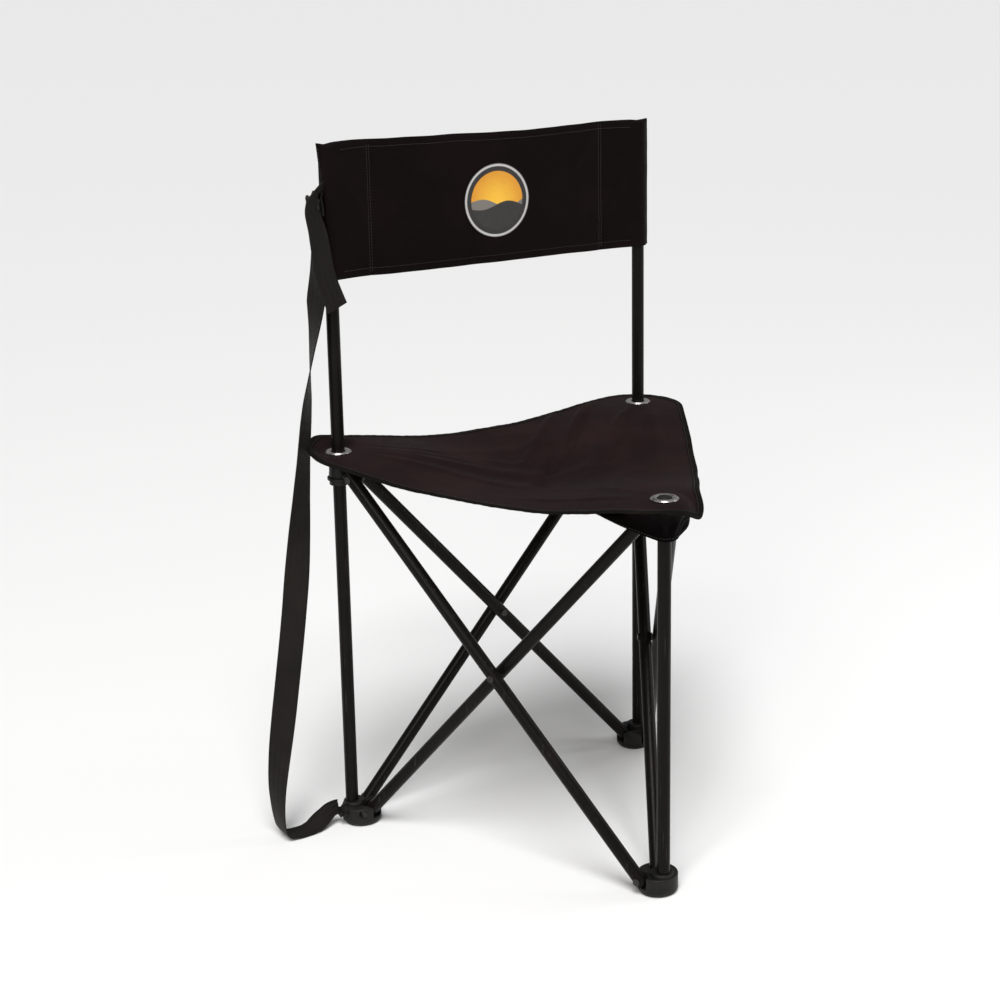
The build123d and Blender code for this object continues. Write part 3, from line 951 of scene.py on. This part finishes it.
def make_seat():
    outline = seat_outline()
    plan, triangles = seat_plan(outline)
    points = [on_seat(p.x, p.y) for p in plan]
    groups = {}
    for face in triangles:
        centre = sum((plan[v] for v in face), Vector((0, 0))) / 3
        part = seat_part(Vector((centre.x, centre.y, 0)))
        if part:
            groups.setdefault(part, []).append(tuple(face))
    whole = [face for faces in groups.values() for face in faces]
    normals = vertex_normals(points, whole)
    for side, (a, b, node) in SIDES.items():
        piece = thick_cloth("sling_" + side, points, normals, groups[side], CLOTH, SEAT_CLOTH)
        gathers(piece, side)
        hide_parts(node)
        binding = make_binding(side, outline)
        gathers(binding, side)
    for name in TURN:
        faces = groups["corner_" + name]
        corner = thick_cloth("sling_corner_" + name, points, normals, faces, CLOTH, SEAT_CLOTH)
        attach(corner, "top_" + name)
        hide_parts("seat_corner_" + name)
        make_eyelet(name)


def make_eyelet(name):
    """A rolled nickel eyelet, its barrel set down through the cloth."""
    top = SEAT_Z + CLOTH + 0.35 * MM
    barrel = 9.0 * MM
    profile = [(barrel, SEAT_Z - 0.1 * MM), (barrel, top + 0.4 * MM)]
    for step in range(9):
        turn = math.pi * (1 - step / 8)
        profile.append(((12.4 + 3.0 * math.cos(turn)) * MM, top + (0.5 + 1.25 * math.sin(turn)) * MM))
    profile += [(16.4 * MM, top + 0.15 * MM), (16.5 * MM, top - 0.1 * MM), (9.9 * MM, top - 0.1 * MM),
                (9.9 * MM, SEAT_Z - 0.1 * MM)]
    eyelet = lathe("grommet_" + name, profile, LEGS[name], NICKEL)
    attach(eyelet, "top_" + name)
    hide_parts("eyelet_" + name)


# ---------------------------------------------------------------- pocket under the front corner


def make_pocket():
    """A cup of cloth sewn under the front corner: it hides the hub and the brace ends."""
    leg = LEGS["front"]
    columns, rows = 96, 22
    points, faces = [], []
    for c in range(columns + 1):
        share = 2 * c / columns - 1
        turn = math.radians(121 * share)
        side = abs(share)
        way = Vector((math.sin(turn), -math.cos(turn), 0))
        ease = max(0.0, (side - 0.45) / 0.55)
        low_r = (13.5 + 5 * side + 80 * ease ** 2.1) * MM
        low_z = SEAT_Z + (-46 + 3 * side + 41 * ease ** 2.0) * MM
        high_r = pocket_reach(turn)
        for r in range(rows + 1):
            drop = r / rows
            bulge = math.sin(math.pi * drop)
            radius = low_r + (high_r - low_r) * drop ** 1.25
            wrinkle = 1.6 * math.sin(9 * turn + 2 * drop) + 2.2 * noise.noise(way * 3 + UP * drop * 2)
            radius += bulge * wrinkle * MM
            spot = leg + way * radius
            high_z = seat_height(spot.x, spot.y) - 1.2 * MM
            z = min(low_z + (high_z - low_z) * drop ** 0.8, high_z)
            spot = pulled(spot.x, spot.y)
            points.append(Vector((spot.x, spot.y, z)))
    for c in range(columns):
        for r in range(rows):
            a = c * (rows + 1) + r
            faces += [(a, a + rows + 1, a + rows + 2), (a, a + rows + 2, a + 1)]
    normals = vertex_normals(points, faces)
    pocket = thick_cloth("corner_pocket", points, normals, faces, 1.2 * MM, POCKET_PAINTED_SHADE)
    hem = [points[c * (rows + 1) + 1] + normals[c * (rows + 1) + 1] * 0.6 * MM for c in range(columns + 1)]
    thread = stitches("pocket_thread", hem, [normals[c * (rows + 1) + 1] for c in range(columns + 1)])
    pocket = joined([pocket, thread])
    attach(pocket, "top_front")
    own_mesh(pocket)
    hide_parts("front_pocket")


def pocket_reach(turn):
    """From the front leg to just inside the seat's edge, at an angle from straight out."""
    away = math.radians(150) - abs(turn)
    straight = SEAT_EDGE / math.sin(away)
    tip = 2 * SEAT_EDGE - SEAT_ROUND
    round_reach = tip / max(math.cos(turn), 0.35) ** 0.3
    drawn_in = 5 * MM + 6.5 * MM * max(math.sin(turn), 0.0)
    return min(straight, round_reach * 1.1, 94 * MM) - drawn_in


# ---------------------------------------------------------------- cloth back

BACK_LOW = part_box("back_left")[0].z
BACK_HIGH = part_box("back_left")[1].z
SEAM_LEFT, SEAM_RIGHT = -168 * MM, 161 * MM
SLEEVE_R = 10.3 * MM
FIN_END = 234 * MM
PANEL_HALF = 1.3 * MM
HEM = 9 * MM

# creases in the back: from, to (x and z, mm), half width, height (mm)
BACK_FOLDS = [
    ((-160, 712), (-90, 850), 9, 1.0),
    ((-150, 860), (-60, 800), 10, 0.9),
    ((90, 850), (150, 866), 7, 1.3),
    ((110, 800), (158, 862), 8, 1.5),
    ((60, 715), (150, 760), 12, 0.8),
    ((-40, 858), (60, 862), 6, 0.8),
    ((168, 720), (205, 850), 8, 0.9),
    ((-205, 720), (-176, 850), 8, 0.9),
]


def back_half(x):
    """Half the back's thickness across its width: sleeves at the ends, flat between the seams."""
    off = abs(x)
    seam = SEAM_RIGHT if x > 0 else -SEAM_LEFT
    leg = GAP / 2
    slope = (SLEEVE_R - PANEL_HALF) / (leg - 2 * MM - seam)
    if off <= seam:
        return PANEL_HALF - 0.55 * MM * math.exp(-((seam - off) / (2.2 * MM)) ** 2)
    if off < leg - 2 * MM:
        rise = PANEL_HALF + slope * (off - seam)
        return rise - 0.55 * MM * math.exp(-((off - seam) / (2.2 * MM)) ** 2)
    if off < leg + SLEEVE_R:
        around = math.sqrt(max(SLEEVE_R ** 2 - max(off - leg, 0.0) ** 2, 0.0))
        return max(around, 0.9 * MM)
    return 0.9 * MM


def back_top(x):
    """Height of the top edge: full over the panel, a dip before each corner, and a raised corner."""
    off = abs(x)
    high = BACK_HIGH + 0.6 * MM
    high += 1.7 * MM * math.exp(-((off - 176 * MM) / (42 * MM)) ** 2)
    high -= 2.0 * MM * math.exp(-((x - 35 * MM) / (70 * MM)) ** 2)
    dip, ear = (1.0 * MM, 0.8 * MM) if x > 0 else (1.8 * MM, 0.6 * MM)
    high -= dip * math.exp(-((off - 222 * MM) / (8 * MM)) ** 2)
    high += ear * math.exp(-((off - 234 * MM) / (6.5 * MM)) ** 2)
    return high + 0.7 * MM * noise.noise(Vector((x * 30, 3.3, 0)))


def back_bottom(x):
    """Height of the bottom edge: drawn up a little at the ends and by the left seam."""
    off = abs(x)
    drawn = 1.2 * MM * (off / FIN_END) ** 6 + 1.4 * MM * math.exp(-((x + 195 * MM) / (60 * MM)) ** 2)
    return BACK_LOW + 0.5 * MM * noise.noise(Vector((x * 24, 8.1, 0))) + drawn


def back_relief(x, z, front):
    """Creases, puckers along the seams and a slow billow, outwards from the cloth."""
    lift = 0.0
    for start, end, wide, high in BACK_FOLDS:
        way = (Vector((*start, 0)) * MM, Vector((*end, 0)) * MM)
        share, off = edge_distance(Vector((x, z, 0)), way)
        if 0 < share < 1:
            lift += high * MM * math.sin(math.pi * share) * math.exp(-(off / (wide * MM)) ** 2)
    phase = 0.0 if front else 7.0
    lift += 0.75 * MM * noise.fractal(Vector((x * 16 + phase, z * 16, 2.2)), 0.9, 2.0, 4)
    for seam in (SEAM_LEFT, SEAM_RIGHT):
        close = math.exp(-abs(x - seam) / (9 * MM))
        lift += 0.32 * MM * close * math.sin(z * 560 + 3 * noise.noise(Vector((z * 40, seam * 90, phase))))
    low_hem = math.exp(-((z - BACK_LOW - 9 * MM) / (1.6 * MM)) ** 2)
    high_hem = math.exp(-((z - BACK_HIGH + 9 * MM) / (1.6 * MM)) ** 2)
    hem = low_hem + high_hem
    calm = min(abs(abs(x) - GAP / 2) / (9 * MM), 1.0)
    return lift * calm - 0.3 * MM * hem * calm


def back_columns():
    """Places across the back, closer together round the legs and at the seams."""
    spots = list(np.arange(0, SEAM_RIGHT - 6 * MM, 2.6 * MM))
    spots += list(np.arange(SEAM_RIGHT - 6 * MM, SEAM_RIGHT + 8 * MM, 1.0 * MM))
    spots += list(np.arange(SEAM_RIGHT + 8 * MM, GAP / 2 - 4 * MM, 2.4 * MM))
    spots += [GAP / 2 + SLEEVE_R * math.sin(math.radians(t)) for t in range(-20, 86, 7)]
    spots += [GAP / 2 + SLEEVE_R + 0.3 * MM, GAP / 2 + SLEEVE_R + 1.2 * MM, FIN_END]
    left = [-s for s in reversed(spots) if s > 0]
    return left + spots


def back_layer(x, z, front, inside):
    """A point of the back's cloth: which side of the legs, and which side of the cloth."""
    half = back_half(x)
    top = back_top(x)
    close = min(max((top - z) / (3.2 * MM), 0.0), 1.0)
    rounded = math.sqrt(1 - (1 - close) ** 2)
    half = 0.8 * MM + (half - 0.8 * MM) * rounded
    half += back_relief(x, z, front) * min(1.0, 0.25 + close)
    if inside:
        half = max(half - 0.9 * MM, 0.12 * MM)
    hand = -1 if front else 1
    past_leg = min(max((abs(x) - 229 * MM) / (5 * MM), 0.0), 1.0)
    below_top = min((top - z) / (36 * MM), 1.0)
    x += past_leg * (4.0 * MM * below_top if x < 0 else 1.0 * MM)
    return Vector((x, REAR_Y + hand * max(half, 0.3 * MM if not inside else 0.1 * MM), z))


def make_back():
    columns = back_columns()
    rows = 62
    points, faces = [], []
    sheets = {}
    for inside in (False, True):
        for front in (True, False):
            start = len(points)
            sheets[(inside, front)] = start
            for x in columns:
                low, top = back_bottom(x), back_top(x) - (1.0 * MM if inside else 0)
                for r in range(rows + 1):
                    share = 1 - (1 - r / rows) ** 1.35
                    points.append(back_layer(x, low + (top - low) * share, front, inside))
            outward = front != inside
            for c in range(len(columns) - 1):
                for r in range(rows):
                    a = start + c * (rows + 1) + r
                    face = (a, a + rows + 1, a + rows + 2, a + 1)
                    faces.append(face if outward else face[::-1])

    def spot(inside, front, c, r):
        return sheets[(inside, front)] + c * (rows + 1) + r

    last = len(columns) - 1
    for c in range(last):
        for inside in (False, True):
            one, two = spot(inside, True, c, rows), spot(inside, True, c + 1, rows)
            three, four = spot(inside, False, c + 1, rows), spot(inside, False, c, rows)
            faces.append((one, two, three, four) if not inside else (four, three, two, one))
        for front in (True, False):
            one, two = spot(False, front, c, 0), spot(False, front, c + 1, 0)
            three, four = spot(True, front, c + 1, 0), spot(True, front, c, 0)
            faces.append((four, three, two, one) if front else (one, two, three, four))
    for r in range(rows):
        for inside in (False, True):
            for c, hand in ((0, 1), (last, -1)):
                one, two = spot(inside, True, c, r), spot(inside, True, c, r + 1)
                three, four = spot(inside, False, c, r + 1), spot(inside, False, c, r)
                face = (one, two, three, four)
                faces.append(face if (hand == 1) != inside else face[::-1])
    for c, hand in ((0, 1), (last, -1)):
        around = ((False, True), (True, True), (True, False), (False, False))
        face = tuple(spot(*layer, c, 0) for layer in around)
        faces.append(face[::-1] if hand == 1 else face)
    back = new_piece("back_sling", points, faces, BACK_CLOTH_PAINTED_SHADE, angle=60)

    sewn = []
    for seam in (SEAM_LEFT, SEAM_RIGHT):
        for shift in (-1.6 * MM, 1.6 * MM):
            for front in (True, False):
                x = seam + shift
                heights = np.arange(back_bottom(x) + 4 * MM, back_top(x) - 4 * MM, 2 * MM)
                line = [back_layer(x, z, front, False) for z in heights]
                way = Vector((0, -1 if front else 1, 0))
                sewn.append(stitches("seam_thread", line, [way] * len(line)))
    for front in (True, False):
        way = Vector((0, -1 if front else 1, 0))
        for from_top in (True, False):
            places = np.arange(-GAP / 2 + 14 * MM, GAP / 2 - 14 * MM, 2.5 * MM)
            line = []
            for x in places:
                z = back_top(x) - HEM if from_top else back_bottom(x) + HEM
                line.append(back_layer(x, z, front, False))
            sewn.append(stitches("hem_thread", line, [way] * len(line)))
    for hand in (-1, 1):
        x = hand * (FIN_END - 1.4 * MM)
        for front in (True, False):
            heights = np.arange(BACK_LOW + 4 * MM, BACK_HIGH - 2 * MM, 2 * MM)
            line = [back_layer(x, z, front, False) for z in heights]
            sewn.append(stitches("end_thread", line, [Vector((0, -1 if front else 1, 0))] * len(line)))
    back = joined([back] + sewn)
    start, end = (-12 * MM, REAR_Y, 0), (12 * MM, REAR_Y, 0)
    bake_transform(back)
    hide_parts("back_left", "back_right")
    badge = make_badge()
    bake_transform(badge)
    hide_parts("badge")


BADGE = Vector((8 * MM, 0, 782 * MM))
BADGE_R = 46.5 * MM


def badge_material():
    """A printed patch: a pale ring round an amber sky over plain dark hills, in satin stitch."""
    paint = Paint("badge_print")
    middle = (-BADGE.x, 0, -BADGE.z)
    moved = paint.node("ShaderNodeMapping", {"Vector": paint.place, "Location": middle}).outputs["Vector"]
    split = paint.node("ShaderNodeSeparateXYZ", {0: moved})
    x, z = split.outputs[0], split.outputs[2]
    flat = paint.stretched((1, 0, 1), moved)
    far = paint.node("ShaderNodeVectorMath", {0: flat}, operation="LENGTH").outputs["Value"]
    soft = 0.35 * MM

    def disc(radius):
        return paint.ramp(far, radius + soft, radius - soft)

    glow = paint.ramp(far, 40 * MM, 8 * MM)
    sky = paint.mix(glow, (0.62, 0.24, 0.008, 1), (0.86, 0.47, 0.03, 1))
    short_wave = paint.times(paint.sine(x, 95.0), 3.4 * MM)
    long_wave = paint.times(paint.math("SINE", paint.plus(paint.times(x, 41.0), 1.2)), 4 * MM)
    wave = paint.plus(short_wave, long_wave)
    near_hill = paint.ramp(paint.math("SUBTRACT", z, paint.math("SUBTRACT", wave, 9 * MM)), soft, -soft)
    far_hill = paint.ramp(paint.plus(z, paint.times(wave, 1.3)), soft, -soft)
    land = paint.mix(far_hill, sky, (0.17, 0.155, 0.14, 1))
    land = paint.mix(near_hill, land, (0.018, 0.016, 0.015, 1))
    band = paint.mix(disc(36.7 * MM), (0.012, 0.010, 0.010, 1), land)
    ring = paint.mix(disc(42.6 * MM), (0.47, 0.46, 0.45, 1), band)
    face = paint.mix(disc(45.5 * MM), (0.012, 0.010, 0.010, 1), ring)
    stitch = paint.sine(paint.plus(x, z), 2 * math.pi / (0.5 * MM))
    rub = paint.noise(120, 4)
    worn = paint.mix(paint.ramp(rub, 0.62, 0.8, 0.0, 0.35), face, (0.06, 0.05, 0.05, 1))
    paint.set(base_color=worn, roughness=paint.ramp(rub, 0.3, 0.7, 0.4, 0.6),
              normal=paint.bump(stitch, 0.06 * MM, 0.6))
    return paint.material


def make_badge():
    rings, spokes = 16, 72
    centre_point = badge_point(0, 0)
    points, faces = [centre_point], []
    for r in range(1, rings + 1):
        for k in range(spokes):
            turn = 2 * math.pi * k / spokes
            points.append(badge_point(BADGE_R * r / rings, turn))
    for k in range(spokes):
        following = (k + 1) % spokes
        faces.append((0, 1 + k, 1 + following))
        for r in range(rings - 1):
            a, b = 1 + r * spokes + k, 1 + r * spokes + following
            faces += [(a, a + spokes, b + spokes), (a, b + spokes, b)]
    normals = vertex_normals(points, faces)
    badge = thick_cloth("printed_badge", points, normals, faces, 0.7 * MM, badge_material())
    edge = []
    for k in range(spokes + 1):
        edge.append(badge_point(BADGE_R - 0.6 * MM, 2 * math.pi * k / spokes) + Vector((0, -0.25 * MM, 0)))
    thread = stitches("badge_thread", edge, [Vector((0, -1, 0))] * len(edge), 2.0 * MM, 0.25 * MM, 2.6 * MM)
    return joined([badge, thread])


def badge_point(radius, turn):
    x, z = BADGE.x + radius * math.cos(turn), BADGE.z + radius * math.sin(turn)
    return back_layer(x, z, True, False) + Vector((0, -0.5 * MM, 0))


# ---------------------------------------------------------------- frame finish, camera, light


def finish_frame():
    """Gives every CAD node that still shows its own finish."""
    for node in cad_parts.values():
        for holder in node.material_slots:
            slot = holder.material.name.split(".")[0]
            holder.material = CAD_LOOKS.get(slot, NYLON)


def make_camera():
    """A long lens a little above the seat, from the front left of the stool."""
    yaw, pitch, roll = math.radians(33.68), math.radians(-14.64), math.radians(-0.08)
    ahead = Vector((math.sin(yaw) * math.cos(pitch), math.cos(yaw) * math.cos(pitch), math.sin(pitch)))
    data = bpy.data.cameras.new("camera")
    data.sensor_width = 36
    data.lens = 70.93
    data.shift_x, data.shift_y = -0.1304, -0.0912
    camera = bpy.data.objects.new("camera", data)
    camera.location = (-1.2102, -1.9442, 1.1515)
    camera.rotation_mode = "QUATERNION"
    camera.rotation_quaternion = Quaternion(ahead, -roll) @ ahead.to_track_quat("-Z", "Y")
    bpy.context.scene.collection.objects.link(camera)
    bpy.context.scene.camera = camera


def make_light(name, spot, aim, size, power, colour=(1, 1, 1)):
    data = bpy.data.lights.new(name, "AREA")
    data.shape = "RECTANGLE"
    data.size, data.size_y = size
    data.energy = power
    data.color = colour
    light = bpy.data.objects.new(name, data)
    light.location = spot
    light.rotation_mode = "QUATERNION"
    light.rotation_quaternion = (Vector(aim) - Vector(spot)).to_track_quat("-Z", "Y")
    bpy.context.scene.collection.objects.link(light)


def make_studio():
    """A pale floor, an even sky and two soft panels of light."""
    mesh = bpy.data.meshes.new("floor")
    reach = 120.0
    corners = [(-reach, -reach, 0), (reach, -reach, 0), (reach, reach, 0), (-reach, reach, 0)]
    mesh.from_pydata(corners, [], [(0, 1, 2, 3)])
    floor = bpy.data.objects.new("floor", mesh)
    bpy.context.scene.collection.objects.link(floor)
    paint = Paint("floor_paper")
    paint.set(base_color=(0.86, 0.86, 0.86, 1), roughness=0.9)
    mesh.materials.append(paint.material)
    world = bpy.data.worlds.new("studio")
    world.use_nodes = True
    world.node_tree.nodes["Background"].inputs["Color"].default_value = (1.0, 1.0, 1.0, 1)
    world.node_tree.nodes["Background"].inputs["Strength"].default_value = 0.26
    bpy.context.scene.world = world
    sun = bpy.data.lights.new("soft_sky", "SUN")
    sun.energy, sun.angle = 2.6, math.radians(30)
    light = bpy.data.objects.new("soft_sky", sun)
    light.rotation_euler = (math.radians(24), math.radians(-16), 0)
    bpy.context.scene.collection.objects.link(light)
    make_light("key", (-1.9, -1.7, 1.9), (0, 0, 0.5), (0.9, 1.6), 30, (1.0, 0.97, 0.93))
    make_light("side", (2.2, -0.9, 1.3), (0, 0, 0.5), (0.6, 1.8), 12)
    bpy.context.scene.view_settings.view_transform = "Standard"


make_camera()
make_strap()
make_seat()
make_pocket()
make_back()
finish_frame()
make_studio()
